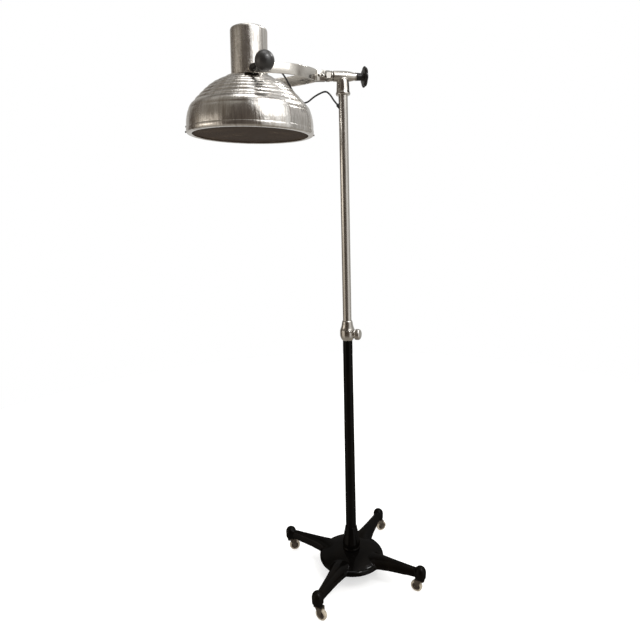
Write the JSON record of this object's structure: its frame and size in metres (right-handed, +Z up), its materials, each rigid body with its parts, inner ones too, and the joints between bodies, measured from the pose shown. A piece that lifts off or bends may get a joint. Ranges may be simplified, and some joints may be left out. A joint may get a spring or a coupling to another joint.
{
  "type": "surgical light",
  "caption": "Vintage mobile surgical light: ribbed dome head on a tilting fork, telescopic mast with clamp collar, cast base on swivel casters.",
  "frame": {"origin": "on the floor, on the axis of the column", "axes": "+Z up along the column, the fork and lamp head towards -X, the star knob towards +X"},
  "size_m": [0.6196, 0.3955, 1.6253],
  "materials": {
    "black_iron": "gloss black enamel over cast iron, lightly worn",
    "black_tube": "gloss black enamel",
    "bright_metal": "old nickel and chrome plating, polished, with fine scratches",
    "spun_shell": "spun aluminium, polished, dull streaks and small dents",
    "reflector_skin": "brushed reflector",
    "black_knob": "moulded black phenolic, satin",
    "filter": "brown heat filter glass",
    "bulb_glass": "frosted bulb glass",
    "socket_ceramic": "glazed white",
    "brass": "dull brass",
    "black_rubber": "black rubber",
    "wheel_ivory": "aged ivory moulded wheel with brown hub",
    "dark_steel": "darkened steel",
    "dark_fibre": "fibre washer"
  },
  "bodies": {
    "stand": {"base_casting": "black_iron", "hub_neck": "black_iron", "column_tube": "black_tube", "column_nut": "dark_steel", "column_washer": "dark_steel", "caster_sleeves": "dark_steel", "collar_body": "bright_metal", "collar_cap": "bright_metal", "guide_bush": "dark_fibre", "clamp_pad": "brass", "collar_screw": "dark_steel"},
    "clamp_knob": {"collar_knob": "bright_metal"},
    "foot": {"mast_foot": "brass"},
    "mast": {"mast_tube": "bright_metal", "mast_tee": "bright_metal", "mast_bushing": "black_rubber", "cord_mast_span": "black_rubber"},
    "yoke": {"yoke_spindle": "dark_steel", "fibre_washer": "dark_fibre", "thrust_ring": "bright_metal", "yoke_nut": "bright_metal", "end_washer": "bright_metal", "yoke_arm_near": "bright_metal", "yoke_arm_far": "bright_metal", "yoke_rivets": "bright_metal", "arm_washers": "bright_metal"},
    "star": {"star_knob": "black_knob"},
    "head": {"socket_housing": "spun_shell", "dome_shell": "spun_shell", "tilt_bracket": "bright_metal", "bracket_screws": "bright_metal", "top_screws": "bright_metal", "pivot_bolts": "dark_steel", "far_nut": "bright_metal", "rim_ring": "bright_metal", "rim_screws": "dark_steel", "filter_glass": "filter", "glass_gasket": "black_rubber", "reflector": "reflector_skin", "lamp_socket": "socket_ceramic", "socket_strap": "dark_steel", "bulb_cap": "brass", "bulb_glass": "bulb_glass", "cord_gland": "black_rubber", "cord_head_span": "black_rubber"},
    "lever": {"lever_neck": "black_knob", "ball_knob": "black_knob"},
    "caster_1": {"caster_fork_1": "dark_steel", "caster_axle_1": "dark_steel"},
    "wheel_1": {"caster_wheel_1": "wheel_ivory"},
    "caster_2": {"caster_fork_2": "dark_steel", "caster_axle_2": "dark_steel"},
    "wheel_2": {"caster_wheel_2": "wheel_ivory"},
    "caster_3": {"caster_fork_3": "dark_steel", "caster_axle_3": "dark_steel"},
    "wheel_3": {"caster_wheel_3": "wheel_ivory"},
    "caster_4": {"caster_fork_4": "dark_steel", "caster_axle_4": "dark_steel"},
    "wheel_4": {"caster_wheel_4": "wheel_ivory"}
  },
  "joints": [
    {"name": "mast_height", "type": "slide", "parent": "stand", "child": "foot", "axis": [0, 0, 1], "range_m": [-0.34, 0.26]},
    {"name": "mast_swivel", "type": "hinge", "parent": "foot", "child": "mast", "pos_m": [0, 0, 0.46], "axis": [0, 0, 1], "range_deg": [-180, 180]},
    {"name": "collar_clamp", "type": "hinge", "parent": "stand", "child": "clamp_knob", "pos_m": [0.02457, -0.01721, 0.802], "axis": [0.8192, -0.5736, 0], "range_deg": [-30, 330]},
    {"name": "fork_roll", "type": "hinge", "parent": "mast", "child": "yoke", "pos_m": [0, 0, 1.516], "axis": [1, 0, 0], "range_deg": [-90, 90], "deforming": ["cord_mast_span", "cord_head_span"]},
    {"name": "star_clamp", "type": "hinge", "parent": "yoke", "child": "star", "pos_m": [0.05, 0, 1.516], "axis": [1, 0, 0], "range_deg": [-30, 330]},
    {"name": "head_tilt", "type": "hinge", "parent": "yoke", "child": "head", "pos_m": [-0.2502, 0, 1.51], "axis": [0, 1, 0], "range_deg": [-14, 88], "deforming": ["cord_head_span"]},
    {"name": "tilt_clamp", "type": "hinge", "parent": "head", "child": "lever", "pos_m": [-0.2502, -0.1, 1.51], "axis": [0, 1, 0], "range_deg": [-45, 45]},
    {"name": "caster_swivel_1", "type": "hinge", "parent": "stand", "child": "caster_1", "pos_m": [0.15163, 0.17691, 0.06], "axis": [0, 0, 1], "continuous": true},
    {"name": "wheel_spin_1", "type": "hinge", "parent": "caster_1", "child": "wheel_1", "pos_m": [0.16296, 0.17891, 0.018], "axis": [-0.1736, 0.9848, 0], "continuous": true},
    {"name": "caster_swivel_2", "type": "hinge", "parent": "stand", "child": "caster_2", "pos_m": [-0.17691, 0.15163, 0.06], "axis": [0, 0, 1], "continuous": true},
    {"name": "wheel_spin_2", "type": "hinge", "parent": "caster_2", "child": "wheel_2", "pos_m": [-0.16545, 0.15063, 0.018], "axis": [0.0872, 0.9962, 0], "continuous": true},
    {"name": "caster_swivel_3", "type": "hinge", "parent": "stand", "child": "caster_3", "pos_m": [-0.15163, -0.17691, 0.06], "axis": [0, 0, 1], "continuous": true},
    {"name": "wheel_spin_3", "type": "hinge", "parent": "caster_3", "child": "wheel_3", "pos_m": [-0.14364, -0.18518, 0.018], "axis": [0.7193, 0.6947, 0], "continuous": true},
    {"name": "caster_swivel_4", "type": "hinge", "parent": "stand", "child": "caster_4", "pos_m": [0.17691, -0.15163, 0.06], "axis": [0, 0, 1], "continuous": true},
    {"name": "wheel_spin_4", "type": "hinge", "parent": "caster_4", "child": "wheel_4", "pos_m": [0.16836, -0.14394, 0.018], "axis": [-0.6691, -0.7431, 0], "continuous": true}
  ]
}
